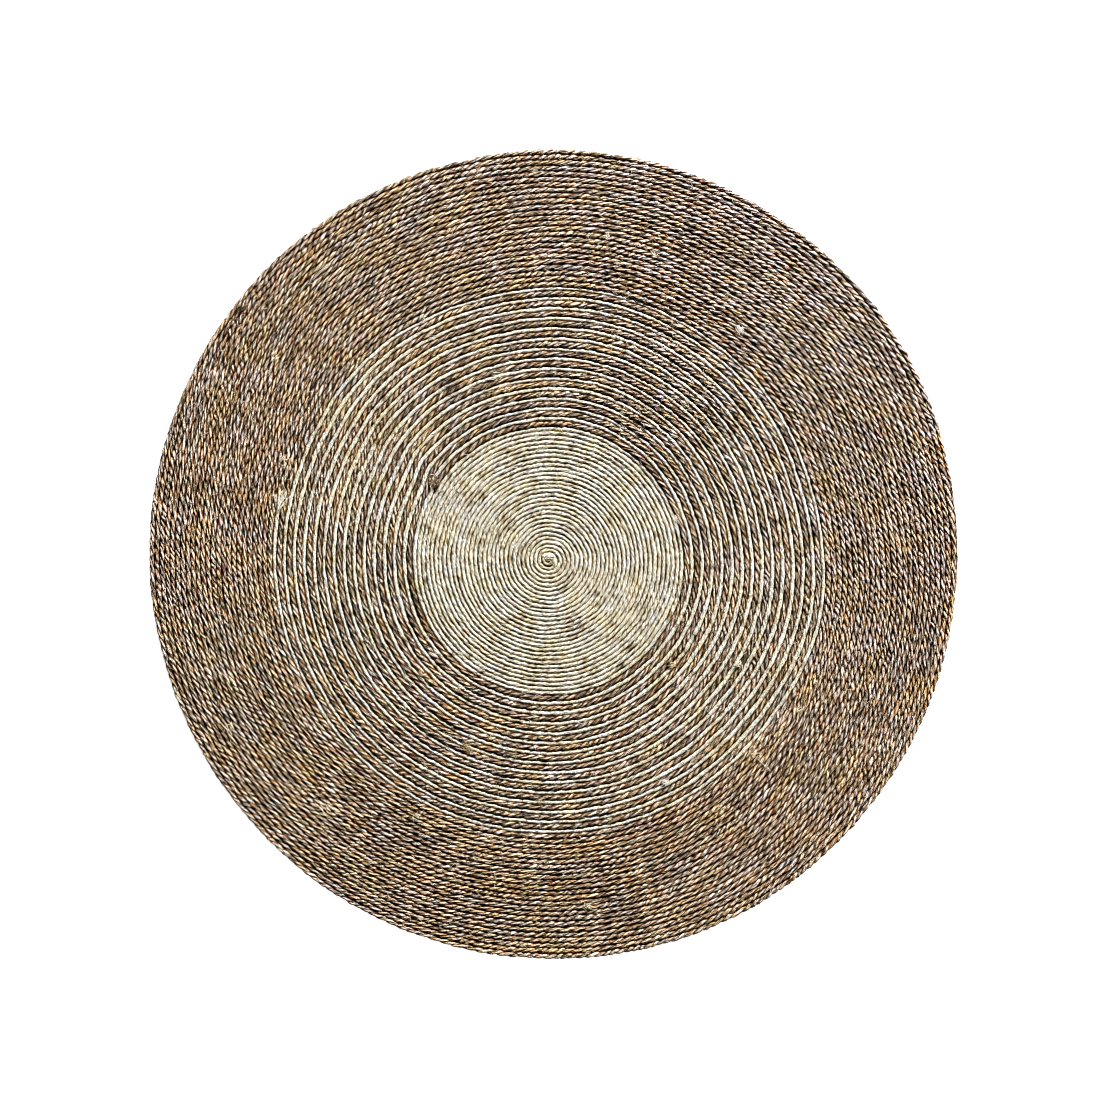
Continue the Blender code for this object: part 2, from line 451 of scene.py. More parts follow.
def rope_piece(name, rope, first, last, colour, rim=False):
    """The marks first to last of a rope, as one closed mesh."""
    around = ROUND_AT_RIM if rim else ROUND
    rows, n = len(around), last - first
    lines = rope.look["across"]
    across = (first + np.arange(n)[:, None] + lines[None, :]).ravel()
    q = np.append(across, last)
    x, y, z, ridge, distance, turn = rope.top(q[:, None], around[None, :])
    steps = len(lines)
    count = len(q)
    whole = np.arange(first, last + 1)
    feet = [rope.foot(whole, -1, UNDER), rope.foot(whole, 1, UNDER)]
    points = [np.stack([x, y, z], 2).reshape(-1, 3)]
    points += [np.stack([f[0], f[1], f[2]], 1) for f in feet]
    points = np.concatenate(points)

    grid = np.arange(count * rows).reshape(count, rows)
    low = count * rows + np.arange(n + 1)
    high = low + n + 1
    a, b = grid[:-1, :-1], grid[1:, :-1]
    c, d = grid[1:, 1:], grid[:-1, 1:]
    quads = [np.stack([a, b, c, d], 2).reshape(-1, 4)]
    quads.append(np.stack([high[:-1], high[1:], low[1:], low[:-1]], 1))
    quads = np.concatenate(quads)

    triangles = []
    half = steps // 2
    for side, edge, foot in ((0, grid[:, 0], low), (1, grid[:, -1], high)):
        for j in range(steps):
            near = foot[:-1] if j <= half else foot[1:]
            one, two = edge[:-1][j::steps][:n], edge[1:][j::steps][:n]
            tri = (one, two, near) if side else (two, one, near)
            triangles.append(np.stack(tri, 1))
        mid = edge[half + 1 :: steps][:n]
        tri = (mid, foot[1:], foot[:-1]) if side else (foot[1:], mid, foot[:-1])
        triangles.append(np.stack(tri, 1))
    for end, index in ((0, 0), (1, -1)):
        loop = np.concatenate([[low[index]], grid[index], [high[index]]])
        for i in range(1, len(loop) - 1):
            tri = (loop[0], loop[i], loop[i + 1])
            triangles.append(np.array([tri if not end else tri[::-1]]))
    triangles = np.concatenate(triangles)

    obj, corners, sizes = new_object(name, points, quads, triangles)
    mesh = obj.data

    # the grooves are creases
    n_edges = len(mesh.edges)
    ends = np.zeros(n_edges * 2, np.int32)
    mesh.edges.foreach_get("vertices", ends)
    ends = ends.reshape(-1, 2)
    line = np.full(len(points), -1)
    line[: count * rows] = np.where(np.arange(count) % steps == 0, np.arange(count), -1)[
        :, None
    ].repeat(rows, 1).ravel()
    sharp = (line[ends[:, 0]] >= 0) & (line[ends[:, 0]] == line[ends[:, 1]])
    crease = mesh.attributes.new("sharp_edge", "BOOLEAN", "EDGE")
    crease.data.foreach_set("value", sharp)

    # a map with the rope laid out in rows, for textures made from the material
    along = np.concatenate([distance.ravel(), feet[0][3], feet[1][3]])
    up_v = np.linspace(0.14, 0.86, rows)[None, :].repeat(count, 0).ravel()
    up_v = np.concatenate([up_v, np.full(n + 1, 0.07), np.full(n + 1, 0.93)])
    start, stop = along.min(), along.max()
    strips = max(int(math.sqrt((stop - start) / 0.02)), 1)
    strip = (stop - start) / strips * 1.0001
    face = np.repeat(np.arange(len(sizes)), sizes)
    centre = np.bincount(face, along[corners]) / sizes
    row = np.floor((centre - start) / strip)[face]
    spare = 0.018
    u = (along[corners] - start - row * strip + spare) / (strip + 2 * spare)
    v = up_v[corners]
    bottom = face >= (count - 1) * (rows - 1)
    bottom &= face < len(quads)
    v = np.where(bottom, np.where(corners >= high[0], 0.0, 0.045), v)
    v = (row + 0.02 + 0.96 * v) / strips
    give_map(mesh, u, v)

    # the colour carries the painted shade; the feet count as far round under the rope, so they get
    # the darkest
    tint, strand = colour(
        rope,
        np.concatenate([np.repeat(q, rows), whole, whole]),
        np.concatenate([np.tile(around, count), np.full(n + 1, -2.0), np.full(n + 1, 2.0)]),
        np.concatenate([ridge.ravel(), np.zeros(2 * n + 2)]),
        points,
        along,
        np.concatenate([turn.ravel(), feet[0][4], feet[1][4]]),
    )
    give(mesh, "tint", "FLOAT_COLOR", np.column_stack([tint, np.ones(len(tint))]))
    give(mesh, "strand", "FLOAT_VECTOR", strand)
    return obj


# ------------------------------------------------------------------- colours


def mixed(share, *colours):
    """Between colours, evenly spaced over 0 to 1."""
    at = np.linspace(0, 1, len(colours))
    return np.stack([np.interp(share, at, [c[i] for c in colours]) for i in range(3)], -1)


def strand_noise(rope, seed, spacing):
    """Smooth along each of the two strands, as a value for each mark."""
    marks = np.arange(rope.marks + 2)
    at = rope.at(np.clip(marks, 0, rope.marks))
    a = noise_line(seed, rope.length, spacing)(at)
    b = noise_line(seed + 1, rope.length, spacing)(at)
    return np.where(marks % 2, a, b)


def of_strand(values, q):
    """A value for each mark, at places across it; a groove takes the mean."""
    low = np.clip(np.floor(q - 1e-6).astype(int), 0, len(values) - 1)
    high = np.clip(np.floor(q + 1e-6).astype(int), 0, len(values) - 1)
    return (values[low] + values[high]) / 2


def smooth(value, low, high):
    share = np.clip((value - low) / (high - low), 0, 1)
    return share * share * (3 - 2 * share)


def shade_of(rope, q, ridge, around, along, groove, at_rim=False):
    """Painted shade for the colour, from how deep a place lies: 0 deep between strands and ropes
    and at the foot, 1 on top. Between two strands it is darker still, by the painted shade set for
    each mark. The rim's outer side, with no turn beside it, gets less.
    """
    on_top, aside = rope.look["groove"]
    depth = on_top + (aside - on_top) * np.sin(around) ** 2
    height = 0.5 + 0.5 * (1 - depth * (1 - ridge)) * np.cos(around)
    # small darker spots of painted shade, so that the shade of the seams is ragged
    height = height - rope.look["nicks"] * (0.6 * rope.shade_pinch(along) + rope.shade_nick(along))
    open_sky = smooth(height, 0.55, 0.98) ** rope.look["dim"]
    # less painted shade on the outer side of the rim
    open_side = at_rim * (0.62 + 0.25 * np.cos(around)) * (around > 0)
    open_sky = np.maximum(open_sky, open_side)
    # more painted shade between two strands, by the groove strength and the mark
    parted_shade = np.clip(groove * of_strand(rope.parted_shade, q), 0, 0.97)
    return open_sky * (1 - parted_shade * (1 - smooth(ridge, 0.05, 0.85)))


def strand_place(rope, q, around, along):
    """Across the fibres in rope widths, along them in metres, and the mark."""
    across = np.sin(around) / 2 - 0.20 * along / rope.size
    return np.column_stack([across, along, 0.6 * q])


patches = plane_waves(31, 40, 0.03, 0.16, 1.0)
small_patches = plane_waves(32, 48, 0.010, 0.030, 1.0)


def by_place(points, base, size, small, warm):
    """Greyer towards the far right, and in patches of a few turns."""
    far = np.clip(points[:, 0] * 0.68 + points[:, 1] * 0.73, 0, 0.7) / 0.7
    base = base * np.exp(np.outer(far**1.5, [-0.03, 0.02, 0.17]))
    pale, yellow = patches(points[:, 0], points[:, 1])
    near, _ = small_patches(points[:, 0], points[:, 1])
    pale, yellow, near = (np.clip(v, -2, 2) for v in (pale, yellow, near))
    base = base * np.exp(size * pale + small * near)[:, None]
    yellow = np.where(yellow < 0, 0.7 * yellow, yellow)
    return base * np.exp(np.outer(yellow, [0.025, 0.0, -0.08]) * warm)


def capped(base, most):
    """No channel above most, with the colour kept."""
    top = base.max(axis=1)
    bend = np.where(top > 0.8 * most, most - 0.2 * most * np.exp(4 - 5 * top / most), top)
    return base * (bend / np.maximum(top, 1e-6))[:, None]


def cream_colour(rope, q, around, ridge, points, along, turn):
    rng = np.random.default_rng(rope.seed + 50)
    marks = rope.marks + 2
    tone = 0.6 * strand_noise(rope, 151, 0.10) + 0.5 * rng.normal(size=marks)
    warm = 0.9 * strand_noise(rope, 161, 0.4) + 0.3 * rng.normal(size=marks)
    tone, warm = of_strand(tone, q), of_strand(warm, q)
    in_disc = smooth(-turn, -0.5, 0.5)
    # painted shade from how deep a place lies; the colours below run from near black in it to pale
    # on top
    shade = shade_of(rope, q, ridge, around, along, 0.20 + 0.16 * in_disc)
    base = mixed(
        shade,
        (0.020, 0.009, 0.002),
        (0.252, 0.160, 0.059),
        (0.61, 0.508, 0.322),
        (0.89, 0.835, 0.690),
    )
    streak = rope.tones[rope.lines_at(q)]
    # painted shade on the last bit of the rope, under the fibres of its cut end
    shade_end = 1 - 0.55 * smooth(turn, PAIR_END - 0.010, PAIR_END - 0.004)
    base = base * shade_end[:, None]
    base = base * np.exp(0.09 * tone + streak)[:, None] * (1.13 - 0.13 * in_disc)[:, None]
    base = base * np.exp(np.outer(0.05 * warm, [0.4, 0.0, -1.0]))
    base = by_place(points, base, 0.04, 0.07, 0.9)
    return capped(base, 0.95), strand_place(rope, q, around, along)


def brown_colour(rope, q, around, ridge, points, along, turn):
    rng = np.random.default_rng(rope.seed + 50)
    marks = rope.marks + 2
    tone = 0.6 * strand_noise(rope, 251, 0.14) + 0.8 * rng.normal(size=marks)
    warm = 0.8 * strand_noise(rope, 261, 0.22) + 0.45 * rng.normal(size=marks)
    red = 0.8 * strand_noise(rope, 271, 0.30) + 0.35 * rng.normal(size=marks)
    tone, warm, red = (of_strand(v, q) for v in (tone, warm, red))
    at_rim = smooth(turn, BORDER_END - 1.02, BORDER_END - 0.98)
    # painted shade from how deep a place lies, less on the rim's outer side; the colours below run
    # from it
    shade = shade_of(rope, q, ridge, around, along, 0.84, at_rim)
    base = mixed(
        shade,
        (0.0100, 0.0020, 0.0003),
        (0.096, 0.0300, 0.0062),
        (0.342, 0.193, 0.091),
        (0.69, 0.583, 0.450),
    )
    in_border = smooth(turn, PAIR_END - 0.6, PAIR_END + 0.6)
    early = 1 - smooth(turn, 0.0, 4.5)
    base = base * ((0.745 + 0.33 * in_border) * (1 - 0.20 * early))[:, None]
    red = red + 0.7 * early
    streak = rope.tones[rope.lines_at(q)]
    base = base * np.exp(0.22 * tone + streak)[:, None]
    warm = np.clip(warm - 0.8 * (streak + 0.1 * tone), -0.8, 2.2)
    base = base * np.exp(np.outer(warm, [0.035, 0.0, -0.12]))
    base = base * np.exp(np.outer(red, [0.035, -0.03, -0.07]))
    base = by_place(points, base, 0.10, 0.12, 1.4)
    return capped(base, 0.84), strand_place(rope, q, around, along)


# ------------------------------------------------------------------ materials


def jute(name, roughness, shine, grain, contrast, split_shade, flecks):
    """Fibres drawn out along the strand, pale and dark side by side."""
    material = bpy.data.materials.new(name)
    material.use_nodes = True
    nodes, links = material.node_tree.nodes, material.node_tree.links
    shader = nodes["Principled BSDF"]
    shader.inputs["Roughness"].default_value = roughness
    shader.inputs["Specular IOR Level"].default_value = shine
    shader.inputs["Specular Tint"].default_value = (1.0, 0.78, 0.55, 1)

    tint = nodes.new("ShaderNodeAttribute")
    tint.attribute_name = "tint"
    strand = nodes.new("ShaderNodeAttribute")
    strand.attribute_name = "strand"

    def fibres(across, along, detail, wander=0.0):
        scale = nodes.new("ShaderNodeVectorMath")
        scale.operation = "MULTIPLY"
        scale.inputs[1].default_value = (across, along, 1)
        links.new(strand.outputs["Vector"], scale.inputs[0])
        noise = nodes.new("ShaderNodeTexNoise")
        noise.inputs["Scale"].default_value = 1
        noise.inputs["Detail"].default_value = detail
        noise.inputs["Roughness"].default_value = 0.6
        noise.inputs["Distortion"].default_value = wander
        links.new(scale.outputs["Vector"], noise.inputs["Vector"])
        return noise.outputs["Fac"]

    def spread(value, start, end, low, high):
        span = nodes.new("ShaderNodeMapRange")
        span.inputs["From Min"].default_value = start
        span.inputs["From Max"].default_value = end
        span.inputs["To Min"].default_value = low
        span.inputs["To Max"].default_value = high
        links.new(value, span.inputs["Value"])
        return span.outputs["Result"]

    def maths(kind, a, b):
        node = nodes.new("ShaderNodeMath")
        node.operation = kind
        for value, socket in ((a, node.inputs[0]), (b, node.inputs[1])):
            if isinstance(value, (int, float)):
                socket.default_value = value
            else:
                links.new(value, socket)
        return node.outputs["Value"]

    streaks = fibres(*grain)
    strength = spread(streaks, 0.36, 0.64, 1 - contrast, 1 + contrast * 0.75)
    fine = fibres(grain[0] * 3.4, grain[1] * 1.6, 1)
    strength = maths("MULTIPLY", strength, spread(fine, 0.3, 0.7, 0.74, 1.26))
    # where two yarns of a strand part, a thin line of painted shade, and a small dip in the bump
    apart = maths("SUBTRACT", fibres(grain[0] * 0.42, grain[1] * 0.6, 0.5, 0.3), 0.5)
    apart = maths("ABSOLUTE", apart, 0)
    strength = maths("MULTIPLY", strength, spread(apart, 0.006, 0.030, 1 - split_shade, 1))
    specks = spread(fibres(grain[0] * 1.1, 300, 0), 0.62, 0.72, 1, 1 - flecks)
    strength = maths("MULTIPLY", strength, specks)
    paint = nodes.new("ShaderNodeVectorMath")
    paint.operation = "SCALE"
    links.new(tint.outputs["Color"], paint.inputs[0])
    links.new(strength, paint.inputs["Scale"])
    links.new(paint.outputs["Vector"], shader.inputs["Base Color"])

    bump = nodes.new("ShaderNodeBump")
    bump.inputs["Strength"].default_value = 1.0
    bump.inputs["Distance"].default_value = 0.0010
    links.new(maths("ADD", streaks, spread(apart, 0.0, 0.05, -0.3, 0)), bump.inputs["Height"])
    links.new(bump.outputs["Normal"], shader.inputs["Normal"])
    return material


def plain(name, colour, roughness):
    material = bpy.data.materials.new(name)
    material.use_nodes = True
    shader = material.node_tree.nodes["Principled BSDF"]
    shader.inputs["Base Color"].default_value = (*colour, 1)
    shader.inputs["Roughness"].default_value = roughness
    return material


cream_jute = jute("cream jute", 0.85, 0.15, (5.0, 150, 2.0, 0.4), 0.48, 0.60, 0.8)
brown_jute = jute("brown jute", 0.85, 0.13, (6.0, 110, 1.8, 0.5), 0.95, 0.90, 0.75)


# ------------------------------------------------- loose fibres and cut ends


def spindles(name, paths, thick, tints, material):
    """Thin fibres in one mesh, each a closed spindle along four points."""
    n = len(paths)
    ahead = paths[:, 2] - paths[:, 1]
    ahead /= np.maximum(np.linalg.norm(ahead, axis=1, keepdims=True), 1e-9)
    side = np.cross(ahead, [0.0, 0.0, 1.0])
    side /= np.maximum(np.linalg.norm(side, axis=1, keepdims=True), 1e-9)
    up = np.cross(side, ahead)
    points = np.empty((n, 8, 3))
    points[:, 0], points[:, 7] = paths[:, 0], paths[:, 3]
    for ring in (0, 1):
        for k in range(3):
            a = 2 * math.pi * k / 3 + 0.5
            out = math.cos(a) * side + math.sin(a) * up
            radius = thick[:, None] / 2 * (1.0, 0.8)[ring]
            points[:, 1 + 3 * ring + k] = paths[:, 1 + ring] + out * radius
    faces, place_u, place_v = [], [], []
    for k in range(3):
        a, b, c, d = 1 + k, 1 + (k + 1) % 3, 4 + (k + 1) % 3, 4 + k
        low, high = (k + 0.12) / 3, (k + 0.88) / 3
        for corners, u, v in (
            ((0, b, a), (0.04, 0.34, 0.34), ((low + high) / 2, high, low)),
            ((a, b, c), (0.34, 0.34, 0.66), (low, high, high)),
            ((a, c, d), (0.34, 0.66, 0.66), (low, high, low)),
            ((7, d, c), (0.96, 0.66, 0.66), ((low + high) / 2, low, high)),
        ):
            faces.append(corners)
            place_u.append(u)
            place_v.append(v)
    faces = np.array(faces)
    triangles = (8 * np.arange(n)[:, None, None] + faces[None]).reshape(-1, 3)
    obj, corners, sizes = new_object(
        name, points.reshape(-1, 3), np.zeros((0, 4), int), triangles
    )
    cells = math.ceil(math.sqrt(n))
    column, row = np.arange(n) % cells, np.arange(n) // cells
    u = (column[:, None] + np.array(place_u).ravel()[None]) / cells
    v = (row[:, None] + np.array(place_v).ravel()[None]) / cells
    give_map(obj.data, u.ravel(), v.ravel())
    tints = np.column_stack([tints, np.ones(n)])
    give(obj.data, "tint", "FLOAT_COLOR", np.repeat(tints, 8, 0))
    obj.data.materials.append(material)
    return obj


STRAW = np.array([0.78, 0.64, 0.43])
PALE = np.array([0.86, 0.80, 0.66])
DARK = np.array([0.035, 0.020, 0.010])
GOLD = np.array([0.46, 0.32, 0.17])


def lying(rng, x, y, heading, length, top, stray):
    """Paths of fibres that lie over the rope, a little bowed, ends sunk in."""
    n = len(x)
    bend = rng.normal(0, 0.35, n)
    steps = np.array([0.0, 0.30, 0.68, 1.0])
    angle = heading[:, None] + bend[:, None] * (steps - 0.5)[None]
    forward = np.diff(steps)[None] * length[:, None]
    middle = (angle[:, 1:] + angle[:, :-1]) / 2
    px = x[:, None] + np.concatenate([np.zeros((n, 1)), np.cumsum(forward * np.cos(middle), 1)], 1)
    py = y[:, None] + np.concatenate([np.zeros((n, 1)), np.cumsum(forward * np.sin(middle), 1)], 1)
    z = np.empty((n, 4))
    z[:, 0] = top - rng.uniform(0.0006, 0.0022, n)
    z[:, 1] = top + rng.uniform(-0.0002, 0.0007, n)
    z[:, 2] = top + rng.uniform(-0.0002, 0.0008, n)
    z[:, 3] = top + rng.uniform(-0.0018, 0.0006, n) + stray
    return np.stack([px, py, z], 2)


def fuzz(name, rope, first, last, count, top, colours, shares, seed):
    """Short fibres all over a run of rope, most of them along it."""
    rng = np.random.default_rng(seed)
    distance = rng.uniform(*np.interp([first, last], rope.turns, rope.run), count)
    turn = rope.turn_at(distance)
    inner, outer = rope.inner(turn), rope.outer(turn)
    radius = inner + (outer - inner) * rng.uniform(0.1, 0.9, count)
    x, y = place(turn, radius)
    ahead_x, ahead_y = place(turn + 0.002, radius)
    heading = np.arctan2(ahead_y - y, ahead_x - x) + rng.normal(0, 0.5, count)
    heading += np.where(rng.random(count) < 0.5, math.pi, 0)
    length = rng.uniform(0.005, 0.017, count) * rng.uniform(0.7, 1.4, count)
    paths = lying(rng, x, y, heading, length, top, 0.0)
    which = rng.choice(len(colours), count, p=shares)
    tints = np.array(colours)[which] * np.exp(rng.normal(0, 0.2, (count, 1)))
    thick = rng.uniform(0.00028, 0.00060, count)
    return spindles(name, paths, thick, np.clip(tints, 0, 0.9), fibre_jute)


def tufts(name, rows, seed):
    """Bunches of fibres, each listed below."""
    rng = np.random.default_rng(seed)
    paths, thick, tints = [], [], []
    for theta, r, count, size, along, spread_by, colour, width in rows:
        a = math.radians(theta)
        cx, cy = r * math.cos(a), r * math.sin(a)
        x = cx + rng.normal(0, size * 0.22, count)
        y = cy + rng.normal(0, size * 0.22, count)
        heading = a + math.radians(along) + rng.normal(0, spread_by, count)
        length = size * rng.uniform(0.5, 1.2, count)
        x = x - 0.5 * length * np.cos(heading)
        y = y - 0.5 * length * np.sin(heading)
        top = 0.0086 if r < 0.255 else 0.0103
        paths.append(lying(rng, x, y, heading, length, top, 0.0006))
        thick.append(width * rng.uniform(0.7, 1.2, count))
        tints.append(colour * np.exp(rng.normal(0, 0.15, (count, 1))))
    return spindles(
        name, np.concatenate(paths), np.concatenate(thick),
        np.clip(np.concatenate(tints), 0, 0.9), fibre_jute,
    )


def plain_jute(name):
    material = bpy.data.materials.new(name)
    material.use_nodes = True
    nodes, links = material.node_tree.nodes, material.node_tree.links
    shader = nodes["Principled BSDF"]
    shader.inputs["Roughness"].default_value = 0.8
    shader.inputs["Specular IOR Level"].default_value = 0.2
    tint = nodes.new("ShaderNodeAttribute")
    tint.attribute_name = "tint"
    links.new(tint.outputs["Color"], shader.inputs["Base Color"])
    return material


fibre_jute = plain_jute("loose jute")

# Where more fibres stand out: degrees anticlockwise from +X and metres from the
# middle, how many, how long, their heading from straight outwards in degrees,
# how much that varies in radians, the colour and the thickness.
TUFTS = (
    # degrees, metres, count, length, heading, varies, colour, thickness
    (-86.0, 0.0102, 16, 0.008, 90, 0.9, PALE, 0.0008),  # over the first bend
    (268.0, 0.0150, 10, 0.010, 90, 0.5, STRAW, 0.0006),
    (28.8, 0.407, 14, 0.016, -60, 0.7, STRAW, 0.0008),  # a join of two yarns
    (122.0, 0.365, 26, 0.022, 80, 0.8, DARK, 0.0007),
    (119.0, 0.498, 12, 0.014, -70, 0.7, STRAW, 0.0008),
    (50.5, 0.540, 16, 0.016, 60, 0.8, PALE, 0.0009),
    (71.5, 0.585, 18, 0.012, -40, 1.2, PALE, 0.0007),
    (80.5, 0.596, 18, 0.012, 30, 1.2, PALE, 0.0007),
    (108.0, 0.346, 10, 0.018, 70, 0.4, PALE, 0.0009),
    (147.5, 0.211, 16, 0.007, 60, 1.3, DARK, 0.0006),
    (152.0, 0.200, 10, 0.006, 60, 1.3, DARK, 0.0006),
    (16.0, 0.235, 14, 0.013, -20, 0.8, PALE, 0.0008),
    (267.0, 0.457, 14, 0.011, 0, 1.4, GOLD, 0.0010),
    (222.0, 0.331, 14, 0.011, 0, 1.4, GOLD, 0.0010),
    (296.0, 0.470, 26, 0.014, 70, 0.8, PALE, 0.0007),
    (246.0, 0.392, 30, 0.022, 80, 0.7, GOLD, 0.0007),
    (329.0, 0.398, 14, 0.014, -70, 0.7, STRAW, 0.0008),
    (317.0, 0.300, 16, 0.014, 60, 0.8, GOLD, 0.0009),
    (315.5, 0.522, 14, 0.018, 75, 0.7, STRAW, 0.0008),
    (315.5, 0.545, 2, 0.045, 0, 0.1, STRAW, 0.0011),
    (327.5, 0.538, 12, 0.015, 70, 0.8, STRAW, 0.0008),
    (242.5, 0.550, 12, 0.015, 70, 0.8, STRAW, 0.0008),
    (275.5, 0.655, 14, 0.015, 70, 0.8, STRAW, 0.0008),
    (228.0, 0.637, 10, 0.022, 75, 0.5, STRAW, 0.0011),
    (208.0, 0.683, 10, 0.022, 75, 0.5, STRAW, 0.0011),
    (160.5, 0.535, 10, 0.020, 75, 0.5, STRAW, 0.0011),
    (145.0, 0.633, 12, 0.020, 75, 0.6, STRAW, 0.0010),
    (142.0, 0.733, 20, 0.016, 70, 0.6, DARK, 0.0011),
    (276.8, 0.663, 5, 0.024, 45, 0.9, STRAW, 0.0011),
)


def cream_end_fan():
    """The cream rope's cut end, its fibres spread over the next turns."""
    rng = np.random.default_rng(77)
    count = 40
    x0, y0 = place(PAIR_END - 0.011, cream_line(PAIR_END - 0.011))
    x1, y1 = place(PAIR_END - 0.015, cream_line(PAIR_END - 0.015))
    heading = math.atan2(y0 - y1, x0 - x1) + rng.normal(-0.08, 0.22, count)
    back = rng.uniform(-0.010, 0.012, count)
    x = x0 + back * np.cos(heading) + rng.normal(0, 0.0020, count)
    y = y0 + back * np.sin(heading) + rng.normal(0, 0.0020, count)
    length = rng.uniform(0.012, 0.030, count)
    paths = lying(rng, x, y, heading, length, 0.0101, 0.0004)
    tints = np.clip(PALE * 0.95 * np.exp(rng.normal(0, 0.15, (count, 1))), 0, 0.92)
    thick = rng.uniform(0.0005, 0.0011, count)
    return spindles("cream_end_fibres", paths, thick, tints, fibre_jute)


def brown_start_tuft():
    """The brown rope's cut end, brown and cream fibres in one clump."""
    rng = np.random.default_rng(78)
    count = 120
    cx, cy = START
    x0, y0 = place(0.0, brown_line(0.0))
    x1, y1 = place(0.006, brown_line(0.006))
    along = math.atan2(y0 - y1, x0 - x1)
    heading = along + rng.normal(0, 0.7, count)
    x = cx + rng.normal(0, 0.0055, count)
    y = cy + rng.normal(0, 0.0050, count)
    length = rng.uniform(0.007, 0.018, count)
    x = x - 0.5 * length * np.cos(heading)
    y = y - 0.5 * length * np.sin(heading)
    paths = lying(rng, x, y, heading, length, 0.0103, 0.0004)
    which = rng.choice(3, count, p=(0.14, 0.30, 0.56))
    tints = np.array([PALE, GOLD * 0.6, (0.085, 0.036, 0.018)])[which]
    tints = tints * np.exp(rng.normal(0, 0.2, (count, 1)))
    thick = rng.uniform(0.0005, 0.0010, count)
    return spindles("brown_start_fibres", paths, thick, np.clip(tints, 0, 0.9), fibre_jute)


START = (-0.2215, 0.1345)  # the middle of the clump at the brown rope's start


def knot(name, middle, size, heading, folds, colours, material, seed):
    """A lump of rope, flat on the floor, with the seams of its folds."""
    rows, columns = 28, 64
    rng = np.random.default_rng(seed)
    waves = rng.uniform(0, 2 * math.pi, 6)
    polar = np.linspace(0, math.pi, rows + 1)[1:-1]
    round_ = np.arange(columns) * 2 * math.pi / columns
    ring, turn = np.meshgrid(polar, round_, indexing="ij")
    out = np.sin(ring) ** 0.7
    ripple = 1 + 0.04 * np.sin(3 * turn + waves[0]) + 0.03 * np.sin(7 * turn + waves[1])
    x = size[0] * out * np.cos(turn) * ripple
    y = size[1] * out * np.sin(turn) * ripple
    strand = 0.00030 * np.sin(2 * math.pi * (y + 0.45 * x) / 0.0034 + waves[2])
    bend = y - 18 * x * x
    fold = sum(np.exp(-(((bend - at) / 0.00055) ** 2)) for at in folds)
    top = size[2]
    z = top * (0.51 + 0.49 * np.cos(ring))
    z = z + (strand - 0.0016 * fold) * np.cos(ring).clip(0)
    c, s = math.cos(heading), math.sin(heading)
    flat = [middle[0] + c * x - s * y, middle[1] + s * x + c * y, z]
    points = np.stack(flat, 2).reshape(-1, 3)
    ends = [(*middle, top), (*middle, 0.02 * top)]
    points = np.concatenate([points, np.array(ends)])
    n = (rows - 1) * columns
    grid = np.arange(n).reshape(rows - 1, columns)
    right = np.roll(grid, -1, 1)
    quads = np.stack([grid[:-1], grid[1:], right[1:], right[:-1]], 2).reshape(-1, 4)
    over = np.stack([np.full(columns, n), grid[0], right[0]], 1)
    under = np.stack([np.full(columns, n + 1), right[-1], grid[-1]], 1)
    obj, _, _ = new_object(name, points, quads, np.concatenate([over, under]))
    j = np.arange(columns)
    rows_v = np.arange(1, rows) / rows
    quad_u = np.stack([j, j, j + 1, j + 1], 1)[None].repeat(rows - 2, 0).reshape(-1)
    v0 = rows_v[:-1, None].repeat(columns, 1)
    v1 = rows_v[1:, None].repeat(columns, 1)
    quad_v = np.stack([v0, v1, v1, v0], 2).reshape(-1)
    over_u = np.stack([j + 0.5, j, j + 1], 1).reshape(-1)
    under_u = np.stack([j + 0.5, j + 1, j], 1).reshape(-1)
    over_v = np.tile([0.0, 1 / rows, 1 / rows], columns)
    under_v = np.tile([1.0, 1 - 1 / rows, 1 - 1 / rows], columns)
    u = np.concatenate([quad_u, over_u, under_u]) / columns
    give_map(obj.data, u, np.concatenate([quad_v, over_v, under_v]))
    # painted shade: darker low on the lump's sides, in the dips between strands and in the seams
    # of the folds
    height = np.append(0.5 + 0.5 * np.cos(ring).ravel(), [1, 0])
    shade = smooth(height, 0.35, 0.92)
    shade *= 1 - 0.25 * (0.5 - 0.5 * np.append(strand.ravel() / 0.00030, [1, 1]))
    shade *= 1 - 0.9 * np.append(fold.clip(0, 1).ravel(), [0, 0])
    tint = mixed(shade, *colours)
    give(obj.data, "tint", "FLOAT_COLOR", np.column_stack([tint, np.ones(n + 2)]))
    px, py = points[:, 0], points[:, 1]
    place_on = np.column_stack([(py + 0.45 * px) / CREAM_ROPE, px, 0 * px])
    give(obj.data, "strand", "FLOAT_VECTOR", place_on)
    obj.data.materials.append(material)
    return obj


def middle_nub():
    """The cream rope's first bend, folded flat in the middle of the coil."""
    return knot(
        "middle_of_coil", (-0.0112, -0.0055), (0.0122, 0.0082, 0.0087), 0.0,
        (-0.0052, -0.0022),
        ((0.02, 0.014, 0.006), (0.30, 0.24, 0.14), (0.84, 0.77, 0.59)),
        cream_jute, 79,
    )


def brown_start_knot():
    """The brown rope's doubled start, laid in at the edge of the disc."""
    return knot(
        "brown_start_knot", START, (0.0120, 0.0078, 0.0100), math.radians(58),
        (0.0020, -0.0020),
        ((0.006, 0.003, 0.001), (0.05, 0.024, 0.010), (0.21, 0.115, 0.055)),
        brown_jute, 80,
    )


# ---------------------------------------------------------------- the pieces


def mark_at(rope, turn):
    distance = np.interp(turn, rope.turns, rope.run)
    return int(round(float(np.interp(distance, rope.grooves, rope.knots))))


def laid(obj, rope, first, last, node, material):
    """Gives a run of rope its material, hangs it from the root and hides the rope's solid."""
    obj.data.materials.append(material)
    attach(obj, "root")
    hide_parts(node)
    ends = rope.at(np.linspace(first, last, 4000))
    _, half, _, _ = rope.section((ends[1:] + ends[:-1]) / 2)
    return obj


